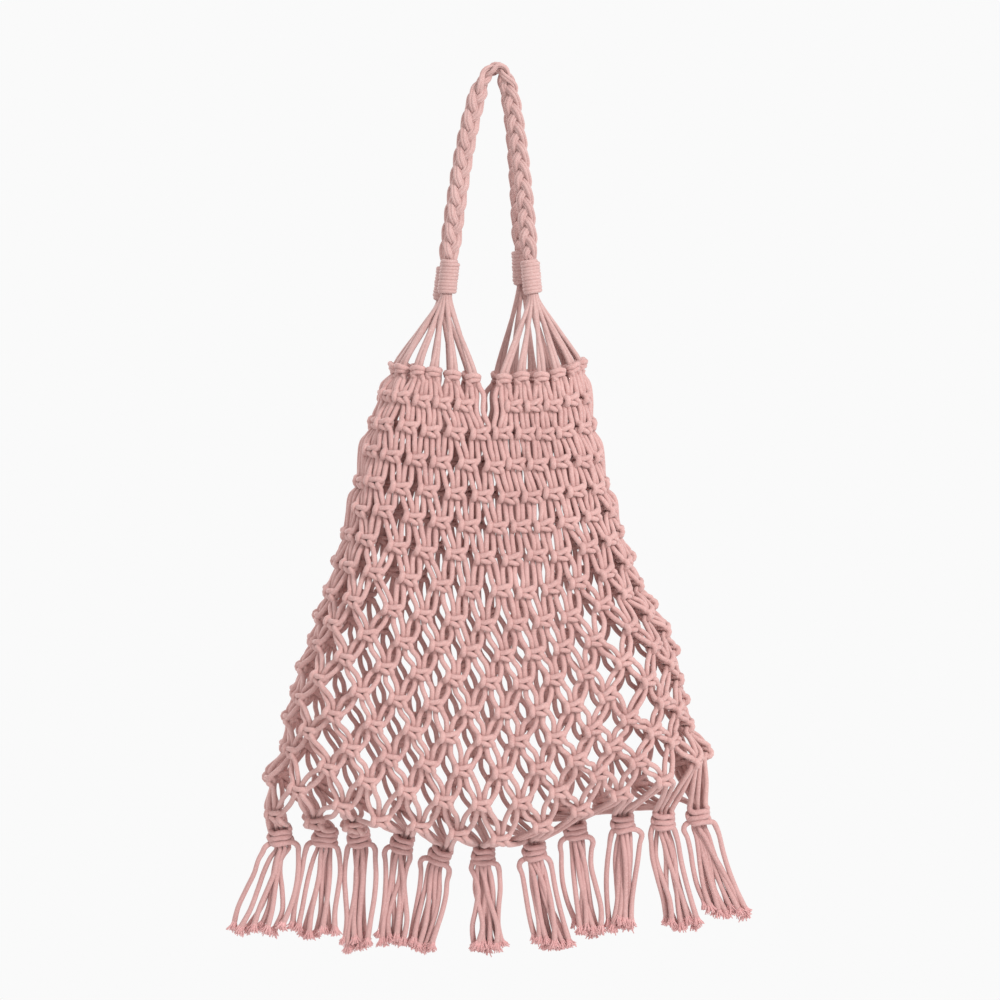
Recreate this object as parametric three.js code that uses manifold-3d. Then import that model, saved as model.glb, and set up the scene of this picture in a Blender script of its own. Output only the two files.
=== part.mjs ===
// A macrame string shopping bag: a knotted net with eleven tassels along its closed bottom,
// carried by two braided handles. It is modelled hanging, and bulging as a full bag does.
// Millimetres, +Z up, +X to the right, and the front of the bag faces -Y.
// The origin is where a hook or a hand carries the handles, on the underside of their bend.
import * as THREE from "three";
import Module from "manifold-3d";

const wasm = await Module();
wasm.setup();

// Driving dimensions
const cordDiameter = 4.6;
const clearance = 0.3;
const sliverSize = 0.06;

const netWidth = 356;
const netHeight = 380;
const netDepth = 100;
const wallThickness = 5;
const rimRise = 6;
const gapBand = 8;
const gapBandHeight = 10.8;
const slitWidth = 5;

const handleDrop = 146;
const handleReachLeft = 36.5;
const handleReachRight = 26;
const handlePointedness = 2.1;
const handleSpacing = 20;
const bendTurnLength = 60;
const braidWidth = 15.5;
const braidThickness = 9.5;
const braidPitch = 15.5;
const braidRelief = 0.9;
const wrapLength = 30;
const wrapWall = 2.2;
const wrapTurns = 5;
const wrapSides = 8;
const neckRadius = 5.3;
const fanHeight = 64;
const fanSag = 0.09;

const tasselLength = 80;
const tasselHeadHeight = 15;
const tasselHeadWidth = 19;
const tasselLocks = 4;
const lockWidth = 8.5;

// The net's lattice: knots sit at half positions on even rows and at whole ones on odd rows.
const knotsAround = 24;
const knotRows = 16;
const knotsPerFan = 6;
const tasselCount = 11;

// The net's sections. Left and right are shares of netWidth, measured from the hanging axis; depth is a share
// of netDepth; down and the two rises, at the left and right tips, are shares of netHeight; turn is in knots.
const sections = [
  { row: 0, down: 0.0, left: 0.228, right: 0.187, depth: 0.5, riseLeft: 0.017, riseRight: 0.027, turn: 0.25 },
  { row: 2, down: 0.122, left: 0.277, right: 0.214, depth: 0.58, riseLeft: 0.022, riseRight: 0.022, turn: 0.25 },
  { row: 4, down: 0.249, left: 0.313, right: 0.243, depth: 0.68, riseLeft: 0.03, riseRight: 0.027, turn: 0.25 },
  { row: 6, down: 0.384, left: 0.338, right: 0.272, depth: 0.8, riseLeft: 0.051, riseRight: 0.054, turn: 0.25 },
  { row: 8, down: 0.522, left: 0.379, right: 0.315, depth: 0.92, riseLeft: 0.064, riseRight: 0.084, turn: 0.25 },
  { row: 10, down: 0.646, left: 0.416, right: 0.375, depth: 1.0, riseLeft: 0.081, riseRight: 0.111, turn: 0.25 },
  { row: 12, down: 0.772, left: 0.458, right: 0.409, depth: 1.0, riseLeft: 0.098, riseRight: 0.135, turn: 0.25 },
  { row: 14, down: 0.899, left: 0.482, right: 0.432, depth: 0.88, riseLeft: 0.106, riseRight: 0.155, turn: 0.2 },
  { row: 15, down: 0.962, left: 0.522, right: 0.478, depth: 0.6, riseLeft: 0.093, riseRight: 0.135, turn: 0.1 },
  { row: 16, down: 1.0, left: 0.511, right: 0.471, depth: 0.06, riseLeft: 0, riseRight: 0, turn: 0 },
];

// Where the load pushes the net out: across and reach as shares of netWidth, down of netHeight, lift of netDepth.
const bulges = [
  { face: "front", across: -0.252, down: 0.468, reach: 0.105, lift: 0.08 },
  { face: "front", across: 0.0, down: 0.456, reach: 0.11, lift: 0.09 },
  { face: "front", across: 0.303, down: 0.589, reach: 0.11, lift: 0.1 },
  { face: "front", across: -0.326, down: 0.662, reach: 0.105, lift: 0.09 },
  { face: "front", across: -0.128, down: 0.709, reach: 0.1, lift: 0.1 },
  { face: "front", across: -0.274, down: 0.863, reach: 0.13, lift: 0.12 },
  { face: "front", across: -0.038, down: 0.905, reach: 0.105, lift: 0.12 },
  { face: "front", across: 0.16, down: 0.757, reach: 0.12, lift: 0.1 },
  { face: "front", across: 0.344, down: 0.831, reach: 0.115, lift: 0.11 },
  { face: "back", across: -0.15, down: 0.5, reach: 0.12, lift: 0.09 },
  { face: "back", across: 0.13, down: 0.56, reach: 0.12, lift: 0.1 },
  { face: "back", across: -0.3, down: 0.72, reach: 0.12, lift: 0.1 },
  { face: "back", across: 0.02, down: 0.78, reach: 0.13, lift: 0.1 },
  { face: "back", across: 0.28, down: 0.8, reach: 0.13, lift: 0.1 },
  { face: "back", across: -0.16, down: 0.9, reach: 0.11, lift: 0.09 },
];

// The tassels, left to right: across is a share of netWidth, and rise, the height of the net's bottom there,
// of netHeight; length, lean and spread are shares of tasselLength, the last two at the tips.
const tassels = [
  { across: -0.489, rise: 0.046, length: 1.04, lean: -0.25, spread: 0.55 },
  { across: -0.389, rise: 0.042, length: 1.02, lean: -0.12, spread: 0.5 },
  { across: -0.312, rise: 0.042, length: 1.13, lean: -0.03, spread: 0.29 },
  { across: -0.216, rise: 0.038, length: 1.08, lean: -0.11, spread: 0.3 },
  { across: -0.131, rise: 0.004, length: 0.98, lean: -0.186, spread: 0.28 },
  { across: -0.031, rise: 0.004, length: 1.01, lean: 0.05, spread: 0.34 },
  { across: 0.085, rise: 0.015, length: 1.01, lean: 0.185, spread: 0.4 },
  { across: 0.178, rise: 0.069, length: 1.1, lean: 0.135, spread: 0.3 },
  { across: 0.285, rise: 0.074, length: 1.12, lean: -0.03, spread: 0.28 },
  { across: 0.375, rise: 0.08, length: 1.14, lean: 0.205, spread: 0.37 },
  { across: 0.455, rise: 0.093, length: 1.06, lean: 0.3, spread: 0.44 },
];

// Heights that follow from them
const wrapTop = -handleDrop;
const wrapBottom = wrapTop - wrapLength;
const netTop = wrapBottom - fanHeight;

const cotton = new THREE.MeshStandardMaterial({ color: 0xd9a39b, roughness: 0.92, metalness: 0 });
const cottonShade = new THREE.MeshStandardMaterial({ color: 0xcf968f, roughness: 0.94, metalness: 0 });

const bag = new THREE.Group();

// A smooth curve through a table's rows: the value of one column where the key column equals at.
function column(table, key, name, at) {
  const last = table.length - 2;
  let i = 0;
  while (i < last && table[i + 1][key] < at) i += 1;
  const slope = (a, b) => (table[b][name] - table[a][name]) / (table[b][key] - table[a][key]);
  const step = table[i + 1][key] - table[i][key];
  const here = slope(i, i + 1);
  const before = i > 0 ? (slope(i - 1, i) + here) / 2 : here;
  const after = i < last ? (slope(i + 1, i + 2) + here) / 2 : here;
  const t = (at - table[i][key]) / step;
  if (t < 0 || t > 1) return table[i][name] + (t < 0 ? before : after) * t * step;
  const start = (1 + 2 * t) * (1 - t) ** 2;
  const startSlope = t * (1 - t) ** 2;
  const end = t * t * (3 - 2 * t);
  const endSlope = t * t * (t - 1);
  return (
    start * table[i][name] +
    startSlope * step * before +
    end * table[i + 1][name] +
    endSlope * step * after
  );
}

// The height of the net's bottom at x, on straight runs between the tassels.
function bottomHeight(x) {
  const share = x / netWidth;
  const last = tassels.length - 2;
  let i = 0;
  while (i < last && tassels[i + 1].across < share) i += 1;
  const a = tassels[i];
  const b = tassels[i + 1];
  const t = THREE.MathUtils.clamp((share - a.across) / (b.across - a.across), 0, 1);
  return netTop - netHeight * (1 - THREE.MathUtils.lerp(a.rise, b.rise, t));
}

// The net's middle surface at a knot position, counted from the left tip round the front, and a knot row.
function netSurface(position, row) {
  const at = (name) => column(sections, "row", name, row);
  const left = -at("left") * netWidth;
  const right = at("right") * netWidth;
  const radius = (at("depth") * netDepth) / 2;
  const straight = right - left - 2 * radius;
  const quarter = (Math.PI * radius) / 2;
  const half = straight + 2 * quarter;
  const around = (position + at("turn")) / knotsAround;
  const distance = (around - Math.floor(around)) * 2 * half;
  const onBack = distance > half;
  const along = onBack ? 2 * half - distance : distance;
  let angle = Math.PI / 2;
  let x = left + radius + (along - quarter);
  if (along < quarter) {
    angle = along / radius;
    x = left + radius - radius * Math.cos(angle);
  } else if (along > half - quarter) {
    angle = Math.PI - (half - along) / radius;
    x = right - radius - radius * Math.cos(angle);
  }
  const side = onBack ? 1 : -1;
  const tilt = THREE.MathUtils.clamp((row - knotRows) / 2 + 1, 0, 1);
  const normal = new THREE.Vector3(-Math.cos(angle), side * Math.sin(angle), -tilt).normalize();
  const lastRow = knotRows - 1;
  const heightAt = (name) => column(sections, "row", name, Math.min(row, lastRow));
  const rise = x < 0 ? heightAt("riseLeft") * (x / left) ** 2 : heightAt("riseRight") * (x / right) ** 2;
  let z = netTop - netHeight * (heightAt("down") - rise);
  const hemLift = (wallThickness / 2) * Math.SQRT1_2;
  if (row > lastRow) z = THREE.MathUtils.lerp(z, bottomHeight(x) + hemLift, row - lastRow);
  const point = new THREE.Vector3(x, side * radius * Math.sin(angle), z);
  for (const bulge of bulges) {
    if ((bulge.face === "back") !== onBack) continue;
    const acrossGap = x - bulge.across * netWidth;
    const downGap = z - (netTop - bulge.down * netHeight);
    const falloff = Math.exp(-(acrossGap ** 2 + downGap ** 2) / (bulge.reach * netWidth) ** 2);
    const nearSeam = THREE.MathUtils.clamp((knotRows - row) / 2, 0, 1);
    const lift = bulge.lift * netDepth * falloff * Math.sin(angle) ** 2 * nearSeam;
    point.addScaledVector(normal, lift);
  }
  return { point, normal };
}

// Millimetres between neighbouring knots on a row.
function knotSpacing(row) {
  const across = (column(sections, "row", "left", row) + column(sections, "row", "right", row)) * netWidth;
  const depth = column(sections, "row", "depth", row) * netDepth;
  return (2 * (across - depth) + Math.PI * depth) / knotsAround;
}

// A closed body from its corners and triangles.
function bodyOf(corners, triangles) {
  const vertProperties = new Float32Array(corners.flatMap((corner) => [corner.x, corner.y, corner.z]));
  return new wasm.Manifold(new wasm.Mesh({ numProp: 3, vertProperties, triVerts: new Uint32Array(triangles) }));
}

// A closed body through rings of corners, capped at both ends.
function loft(rings) {
  const sides = rings[0].length;
  const triangles = [];
  for (let i = 0; i + 1 < rings.length; i += 1) {
    for (let j = 0; j < sides; j += 1) {
      const a = i * sides + j;
      const b = i * sides + ((j + 1) % sides);
      triangles.push(a, b, b + sides, a, b + sides, a + sides);
    }
  }
  const end = (rings.length - 1) * sides;
  for (let j = 1; j + 1 < sides; j += 1) {
    triangles.push(0, j + 1, j);
    triangles.push(end, end + j, end + j + 1);
  }
  const body = bodyOf(rings.flat(), triangles);
  if (body.volume() > 0) return body;
  for (let i = 0; i < triangles.length; i += 3) {
    [triangles[i + 1], triangles[i + 2]] = [triangles[i + 2], triangles[i + 1]];
  }
  return bodyOf(rings.flat(), triangles);
}

// An oval ring of corners round a centre, spanned by two half axes.
function oval(centre, halfWidth, halfHeight, sides) {
  return Array.from({ length: sides }, (_, j) => {
    const angle = (2 * Math.PI * (j + 0.5)) / sides;
    return centre
      .clone()
      .addScaledVector(halfWidth, Math.cos(angle))
      .addScaledVector(halfHeight, Math.sin(angle));
  });
}

// A body's mesh, without the slivers that joining leaves.
function geometryOf(body) {
  const mesh = body.simplify(sliverSize).getMesh();
  const geometry = new THREE.BufferGeometry();
  geometry.setAttribute("position", new THREE.BufferAttribute(mesh.vertProperties, 3));
  geometry.setIndex(new THREE.BufferAttribute(mesh.triVerts, 1));
  return geometry;
}

function addPiece(name, geometry, material) {
  const mesh = new THREE.Mesh(geometry, material);
  mesh.name = name;
  bag.add(mesh);
}

// Net wall: a coarse version of the knotted lattice. Every second knot of every second row is a patch, joined
// by slanting bands, and the gaps between the bands go right through.
function netWall() {
  const hem = { front: [], back: [] };
  const corners = [];
  const found = new Map();
  const corner = (position, row, raise = 0) => {
    const wrapped = ((position % knotsAround) + knotsAround) % knotsAround;
    const key = [wrapped, row, raise].map((value) => value.toFixed(4)).join();
    if (!found.has(key)) {
      found.set(key, corners.length);
      const surface = netSurface(wrapped, row);
      surface.point.z += raise;
      corners.push(surface);
      if (row === knotRows) hem[wrapped < knotsAround / 2 ? "front" : "back"].push(corners.length - 1);
    }
    return found.get(key);
  };

  const faces = [];
  const face = (...loop) => {
    for (let j = 1; j + 1 < loop.length; j += 1) faces.push([loop[0], loop[j], loop[j + 1]]);
  };

  const rowPitch = netHeight / knotRows;
  const bandRows = gapBandHeight / rowPitch;
  const gapRows = knotRows / 2;
  const bulgeOut = 0.14;
  const patchRow = (line) => (line === gapRows ? knotRows - bandRows / 2 : 2 * line);
  const patch = (position, line) => {
    const row = patchRow(line);
    const reach = gapBand / knotSpacing(Math.min(row, knotRows - 1));
    return {
      east: [position + reach, row],
      west: [position - reach, row],
      north: [position, row - bandRows],
      south: [position, row + bandRows],
    };
  };
  // The middle of a gap's side, pushed away from the gap's centre so that the gap is rounded.
  const rounded = (a, b, centre) => {
    const push = (value, middle) => value + bulgeOut * (value - middle);
    return corner(push((a[0] + b[0]) / 2, centre[0]), push((a[1] + b[1]) / 2, centre[1]));
  };
  // A band from a patch down to the next one, which lies to the right (turn 1) or to the left (turn -1).
  const band = (from, position, line, turn) => {
    const to = patch(position + turn, line + 1);
    const fromSide = turn > 0 ? from.east : from.west;
    const toSide = turn > 0 ? to.west : to.east;
    const above = rounded(fromSide, to.north, [position + turn, patchRow(line)]);
    const below = rounded(from.south, toSide, [position, patchRow(line + 1)]);
    const loops = [
      [corner(...fromSide), above, below, corner(...from.south)],
      [above, corner(...to.north), corner(...toSide), below],
    ];
    for (const loop of loops) face(...(turn > 0 ? loop.reverse() : loop));
  };
  // The upright edge strip along the mouth or along the bottom, between one patch and the next.
  const edge = (a, b, edgeRow, raise) => {
    const middle = (a[0] + b[0]) / 2;
    const loop = (from, to) => {
      const quad = [
        corner(from, edgeRow, raise),
        corner(to, edgeRow, raise),
        corner(to, a[1]),
        corner(from, a[1]),
      ];
      face(...(raise > 0 ? quad.reverse() : quad));
    };
    loop(a[0], middle);
    loop(middle, b[0]);
  };

  for (let line = 0; line <= gapRows; line += 1) {
    for (let c = 0; c < knotsAround / 2; c += 1) {
      const position = 2 * c + 0.5 + (line % 2);
      const here = patch(position, line);
      const next = patch(position + 2, line);
      const [east, west] = [corner(...here.east), corner(...here.west)];
      if (line === 0) {
        const [topWest, topEast] = [corner(here.west[0], 0, rimRise), corner(here.east[0], 0, rimRise)];
        face(west, corner(...here.south), east, topEast, topWest);
        edge(here.east, next.west, 0, rimRise);
      } else if (line === gapRows) {
        const [lowWest, lowEast] = [corner(here.west[0], knotRows), corner(here.east[0], knotRows)];
        face(corner(...here.north), west, lowWest, lowEast, east);
        edge(here.east, next.west, knotRows, 0);
      } else {
        face(west, corner(...here.south), east, corner(...here.north));
      }
      if (line < gapRows) {
        band(here, position, line, 1);
        band(here, position, line, -1);
      }
    }
  }

  // The bottom: the front edge and the back edge are joined by a narrow strip, from the left to the right.
  const leftToRight = (a, b) => corners[a].point.x - corners[b].point.x;
  const front = hem.front.sort(leftToRight);
  const back = hem.back.sort(leftToRight);
  const nextX = (edgeCorners, k) => (k + 1 < edgeCorners.length ? corners[edgeCorners[k + 1]].point.x : Infinity);
  for (let i = 0, j = 0; i + 1 < front.length || j + 1 < back.length; ) {
    if (nextX(front, i) < nextX(back, j)) {
      faces.push([front[i + 1], front[i], back[j]]);
      i += 1;
    } else {
      faces.push([back[j], back[j + 1], front[i]]);
      j += 1;
    }
  }
  const edgeLines = [front, back].map((edgeCorners) => edgeCorners.map((k) => outerPoint(corners[k])));
  return { body: thicken(corners, faces), edgeLines };
}

// The lowest height of the net's bottom edges at x.
function hemHeight(edgeLines, x) {
  const heights = edgeLines.map((line) => {
    let i = 0;
    while (i + 2 < line.length && line[i + 1].x < x) i += 1;
    const t = THREE.MathUtils.clamp((x - line[i].x) / (line[i + 1].x - line[i].x), 0, 1);
    return THREE.MathUtils.lerp(line[i].z, line[i + 1].z, t);
  });
  return Math.min(...heights);
}

// A corner of the wall's outer face.
function outerPoint(corner) {
  return corner.point.clone().addScaledVector(corner.normal, wallThickness / 2);
}

// A wall of wallThickness round a sheet: both faces, and a side along every edge that only one face uses.
function thicken(corners, faces) {
  const outside = corners.map(outerPoint);
  const inside = corners.map((c) => c.point.clone().addScaledVector(c.normal, -wallThickness / 2));
  const count = corners.length;
  const triangles = [];
  const open = new Map();
  for (const [a, b, c] of faces) {
    triangles.push(a, b, c, count + a, count + c, count + b);
    for (const [from, to] of [[a, b], [b, c], [c, a]]) {
      if (!open.delete(`${to},${from}`)) open.set(`${from},${to}`, [from, to]);
    }
  }
  for (const [from, to] of open.values()) {
    triangles.push(from, count + from, to, to, count + from, count + to);
  }
  return bodyOf([...outside, ...inside], triangles);
}

// A strip along the net's surface at one knot position, standing out by depth on both sides of it.
function uprightStrip(position, fromRow, toRow, width, depth, raise) {
  const steps = Math.max(1, Math.round((toRow - fromRow) / 2));
  const rings = [];
  for (let i = 0; i <= steps; i += 1) {
    const row = fromRow + ((toRow - fromRow) * i) / steps;
    const { point, normal } = netSurface(position, Math.max(row, 0));
    if (i === 0) point.z += raise;
    const across = new THREE.Vector3(-normal.y, normal.x, 0);
    rings.push(oval(point, across.multiplyScalar(width / 2), normal.multiplyScalar(depth / 2), 4));
  }
  return loft(rings);
}

// Net body, with a short slit in the mouth at the front and back and a long one at each side
function netBody(wall) {
  const slits = [
    { position: 0, toRow: 6 },
    { position: 6, toRow: 2 },
    { position: 12, toRow: 6 },
    { position: 18, toRow: 2 },
  ];
  let body = wall;
  for (const slit of slits) {
    for (const side of [-1, 1]) {
      const shift = (side * (slitWidth + cordDiameter)) / 2 / knotSpacing(0);
      const place = slit.position + shift;
      const strip = uprightStrip(place, 0, slit.toRow, cordDiameter * 1.2, wallThickness * 1.1, rimRise / 2);
      body = body.add(strip);
    }
  }
  for (const slit of slits) {
    const cutDepth = 3 * wallThickness;
    body = body.subtract(uprightStrip(slit.position, 0, slit.toRow - 0.6, slitWidth * 1.4, cutDepth, 2 * rimRise));
  }
  return body;
}

// A handle's middle line: both legs drop from the bend and spread towards their wraps.
function handleLine([leftLeg, rightLeg], y) {
  const bendHeight = braidThickness / 2;
  const steps = 10;
  const points = [];
  for (let i = -steps; i <= steps; i += 1) {
    const u = i / steps;
    const leg = u < 0 ? leftLeg : rightLeg;
    const drop = Math.abs(u) ** handlePointedness;
    const z = THREE.MathUtils.lerp(bendHeight, wrapTop + leg.higher, drop);
    points.push(new THREE.Vector3(Math.abs(u) * leg.reach, y, z));
  }
  return new THREE.CatmullRomCurve3(points, false, "centripetal");
}

// The wraps hang straight on from the ends of a handle's line.
function wrapLine(line, end) {
  const start = line.getPoint(end);
  const heading = line.getTangent(end).multiplyScalar(end === 0 ? -1 : 1);
  return { start, heading };
}

// The braid as one tube whose edges swell where its strands cross. It lies flat on the hook at the bend and
// turns to face the front on its legs.
function braid(line) {
  const length = line.getLength();
  const steps = 2 * Math.round(length / braidPitch);
  const rings = [];
  for (let i = 0; i <= steps; i += 1) {
    const t = i / steps;
    const centre = line.getPointAt(t);
    const tangent = line.getTangentAt(t);
    const fromBend = Math.abs(t - 0.5) * length;
    const turned = (Math.PI / 2) * THREE.MathUtils.smoothstep(fromBend, 0, bendTurnLength);
    const depthward = new THREE.Vector3(0, 1, 0);
    const sideways = new THREE.Vector3().crossVectors(depthward, tangent).normalize();
    const wide = depthward.clone().multiplyScalar(Math.cos(turned)).addScaledVector(sideways, Math.sin(turned));
    const thick = sideways.clone().multiplyScalar(Math.cos(turned)).addScaledVector(depthward, -Math.sin(turned));
    const crossing = braidRelief * (i % 2 ? 1 : -1);
    const halfWidth = braidWidth / 2 - braidRelief;
    const shifted = centre.addScaledVector(wide, crossing);
    rings.push(oval(shifted, wide.multiplyScalar(halfWidth), thick.multiplyScalar(braidThickness / 2), 8));
  }
  return loft(rings);
}

// The bundle of cords that runs on from the braid through a wrap.
function neck({ start, heading }) {
  const inBraid = -4;
  const below = 3;
  const across = new THREE.Vector3().crossVectors(new THREE.Vector3(0, 1, 0), heading).normalize();
  const back = new THREE.Vector3().crossVectors(heading, across);
  const rings = [inBraid, wrapLength + below].map((along) => {
    const centre = start.clone().addScaledVector(heading, along);
    return oval(
      centre,
      across.clone().multiplyScalar(neckRadius),
      back.clone().multiplyScalar(neckRadius),
      8,
    );
  });
  return loft(rings);
}

// The cords that spread from a wrap to the mouth of the net, a pair to each knot of the top row.
function fan({ start, heading }, firstPosition) {
  const foot = start.clone().addScaledVector(heading, wrapLength + 1);
  const bodies = [];
  for (let i = 0; i < knotsPerFan; i += 1) {
    const position = firstPosition + i;
    const { point, normal } = netSurface(position, 0);
    const nearby = [-0.35, 0.35].map((gap) => netSurface(position + gap, 0).point.z);
    const rimTop = Math.max(...nearby, point.z) + rimRise + clearance;
    const along = new THREE.Vector3(-normal.y, normal.x, 0);
    const outward = point.clone().sub(foot).setZ(0);
    const top = foot.clone().addScaledVector(outward, 0.04);
    const end = point.clone().setZ(rimTop);
    const middle = top.clone().lerp(end, 0.5).addScaledVector(outward, -fanSag);
    const straight = end.clone().setZ(rimTop + cordDiameter);
    const stations = [
      { centre: top, half: cordDiameter * 0.45 },
      { centre: middle, half: cordDiameter * 0.62 },
      { centre: straight, half: cordDiameter * 0.85 },
      { centre: end, half: cordDiameter * 0.85 },
    ];
    const rings = stations.map(({ centre, half }) =>
      oval(
        centre,
        along.clone().multiplyScalar(half),
        normal.clone().multiplyScalar(cordDiameter / 2),
        6,
      ),
    );
    bodies.push(loft(rings));
  }
  return bodies;
}

// A cord wound round the neck, as a ring with a rib for each pair of turns
function wrapGeometry() {
  const inner = (neckRadius + clearance) / Math.cos(Math.PI / wrapSides);
  const outer = inner + wrapWall;
  const groove = 0.7;
  const profile = [new THREE.Vector2(inner, 0)];
  const pitch = wrapLength / wrapTurns;
  for (let i = 0; i < wrapTurns; i += 1) {
    profile.push(new THREE.Vector2(outer - groove, i * pitch));
    profile.push(new THREE.Vector2(outer, (i + 0.5) * pitch));
  }
  profile.push(new THREE.Vector2(outer - groove, wrapLength));
  profile.push(new THREE.Vector2(inner, wrapLength));
  profile.push(new THREE.Vector2(inner, 0));
  return new THREE.LatheGeometry(profile, wrapSides);
}

function addHandle(face) {
  const y = (face.side * handleSpacing) / 2;
  const line = handleLine(face.legs, y);
  let body = braid(line);
  for (const leg of face.legs) {
    const run = wrapLine(line, leg.end);
    body = body.add(neck(run));
    for (const cords of fan(run, leg.firstPosition)) body = body.add(cords);
    const ring = new THREE.Mesh(wrapGeometry(), cottonShade);
    ring.name = `wrap_${face.name}_${leg.name}`;
    ring.position.copy(run.start).addScaledVector(run.heading, clearance);
    ring.quaternion.setFromUnitVectors(new THREE.Vector3(0, 1, 0), run.heading);
    bag.add(ring);
  }
  addPiece(`handle_${face.name}`, geometryOf(body), cotton);
}

// A tassel: a knotted head under the seam and a skirt of locks, fused into one piece
function tasselBody(tassel, edgeLines) {
  const x = tassel.across * netWidth;
  const topWidth = tasselHeadWidth * 0.6;
  const near = [-0.5, -0.25, 0, 0.25, 0.5].map((share) => hemHeight(edgeLines, x + share * topWidth));
  const top = Math.min(...near) - clearance;
  const depthShare = 0.75;
  const headRings = [
    { down: 0, width: 0.6 },
    { down: 0.45, width: 1 },
    { down: 1.1, width: 0.7 },
  ].map(({ down, width }) => {
    const half = (width * tasselHeadWidth) / 2;
    const centre = new THREE.Vector3(x, 0, top - down * tasselHeadHeight);
    return oval(centre, new THREE.Vector3(half, 0, 0), new THREE.Vector3(0, half * depthShare, 0), 8);
  });
  let body = loft(headRings);
  const hang = tassel.length * tasselLength;
  for (let i = 0; i < tasselLocks; i += 1) {
    const share = (2 * i) / (tasselLocks - 1) - 1;
    const inFront = i % 2 ? 0.5 : -0.5;
    const stations = [
      { down: tasselHeadHeight * 0.75, out: 0.3 * tasselHeadWidth, thick: 0.8 },
      { down: hang * 0.45, out: 0.3 * tassel.spread * tasselLength, thick: 1 },
      { down: hang, out: (tassel.spread * tasselLength - lockWidth) / 2, thick: 1.1 },
    ];
    const rings = stations.map(({ down, out, thick }) => {
      const lean = tassel.lean * tasselLength * (down / hang) ** 1.4;
      const centre = new THREE.Vector3(x + share * out + lean, inFront * lockWidth * thick, top - down);
      const half = (lockWidth * thick) / 2;
      return oval(centre, new THREE.Vector3(half, 0, 0), new THREE.Vector3(0, half * 0.8, 0), 5);
    });
    body = body.add(loft(rings));
  }
  return body;
}

const { body: wall, edgeLines } = netWall();
addPiece("net_body", geometryOf(netBody(wall)), cotton);

const handles = [
  {
    name: "front",
    side: -1,
    legs: [
      { name: "left", end: 0, firstPosition: 0.5, reach: -handleReachLeft, higher: 0 },
      { name: "right", end: 1, firstPosition: 6.5, reach: handleReachRight, higher: 0 },
    ],
  },
  {
    name: "back",
    side: 1,
    legs: [
      { name: "left", end: 0, firstPosition: 18.5, reach: -handleReachLeft - 4, higher: -5 },
      { name: "right", end: 1, firstPosition: 12.5, reach: handleReachRight - 7, higher: 8 },
    ],
  },
];
for (const face of handles) addHandle(face);

for (let i = 0; i < tasselCount; i += 1) {
  addPiece(`tassel_${String(i + 1).padStart(2, "0")}`, geometryOf(tasselBody(tassels[i], edgeLines)), cottonShade);
}

export default bag;
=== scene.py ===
# A string shopping bag of knotted cotton cord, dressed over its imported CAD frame. Every cord of the net is a
# swept tube that runs through real square knots, from the handles down to the tassels' frayed ends.
import math
from functools import lru_cache

import bpy
import numpy as np
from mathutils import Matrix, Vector


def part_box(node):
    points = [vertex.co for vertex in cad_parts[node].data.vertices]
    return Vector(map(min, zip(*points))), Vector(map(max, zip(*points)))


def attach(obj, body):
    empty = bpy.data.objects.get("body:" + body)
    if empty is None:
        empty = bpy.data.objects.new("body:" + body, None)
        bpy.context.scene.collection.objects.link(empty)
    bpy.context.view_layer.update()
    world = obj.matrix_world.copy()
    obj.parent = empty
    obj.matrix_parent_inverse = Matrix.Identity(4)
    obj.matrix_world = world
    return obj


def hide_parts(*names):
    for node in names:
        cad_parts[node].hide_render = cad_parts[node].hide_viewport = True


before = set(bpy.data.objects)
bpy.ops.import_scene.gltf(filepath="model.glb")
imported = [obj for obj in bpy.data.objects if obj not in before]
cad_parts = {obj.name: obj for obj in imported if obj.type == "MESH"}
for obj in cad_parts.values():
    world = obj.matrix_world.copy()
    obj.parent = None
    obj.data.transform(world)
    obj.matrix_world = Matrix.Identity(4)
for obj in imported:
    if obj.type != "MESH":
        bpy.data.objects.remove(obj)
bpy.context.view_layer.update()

rng = np.random.default_rng(11)

# Sizes are in the part's own millimetres; UNIT turns them into metres of the frame.
NET_LOW, NET_HIGH = (np.array(corner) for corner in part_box("net_body"))
NET_WIDTH, NET_HEIGHT, NET_DEPTH = 356.0, 380.0, 100.0
# Shares of the net's height in the frame: what its rows of knots span, and what lies above the top row.
ROWS_SPAN, ABOVE_ROWS = 0.9628, 0.0411
UNIT = (NET_HIGH[2] - NET_LOW[2]) * ROWS_SPAN / NET_HEIGHT
NET_TOP = (NET_HIGH[2] - ABOVE_ROWS * (NET_HIGH[2] - NET_LOW[2])) / UNIT
# The radius of a cord that runs free.
CORD = 2.1
# The last row of knots, the knot positions round the net, and those in a quarter of it.
ROWS, AROUND = 16, 24
QUARTER = AROUND // 4
WRAP_LENGTH = 30.0

# ---------------------------------------------------------------- camera and light
CAMERA_DISTANCE, CAMERA_TILT = 2.4, math.radians(3)
AIM = Vector((0.0024, 0.0, -0.339))
STUDIO_GREY = (0.956, 0.956, 0.956, 1)

camera_data = bpy.data.cameras.new("camera")
camera_data.lens = 108
camera_data.sensor_width = 36
camera_data.clip_start, camera_data.clip_end = 0.05, 50
camera = bpy.data.objects.new("camera", camera_data)
camera.location = AIM + CAMERA_DISTANCE * Vector((0, -math.cos(CAMERA_TILT), math.sin(CAMERA_TILT)))
camera.rotation_euler = (math.pi / 2 - CAMERA_TILT, 0, 0)
bpy.context.collection.objects.link(camera)
bpy.context.scene.camera = camera
bpy.context.scene.view_settings.view_transform = "Standard"
bpy.context.scene.view_settings.look = "None"

world = bpy.data.worlds.new("studio")
world.use_nodes = True
background = world.node_tree.nodes["Background"]
background.inputs["Color"].default_value = STUDIO_GREY
background.inputs["Strength"].default_value = 1.0
bpy.context.scene.world = world


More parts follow.
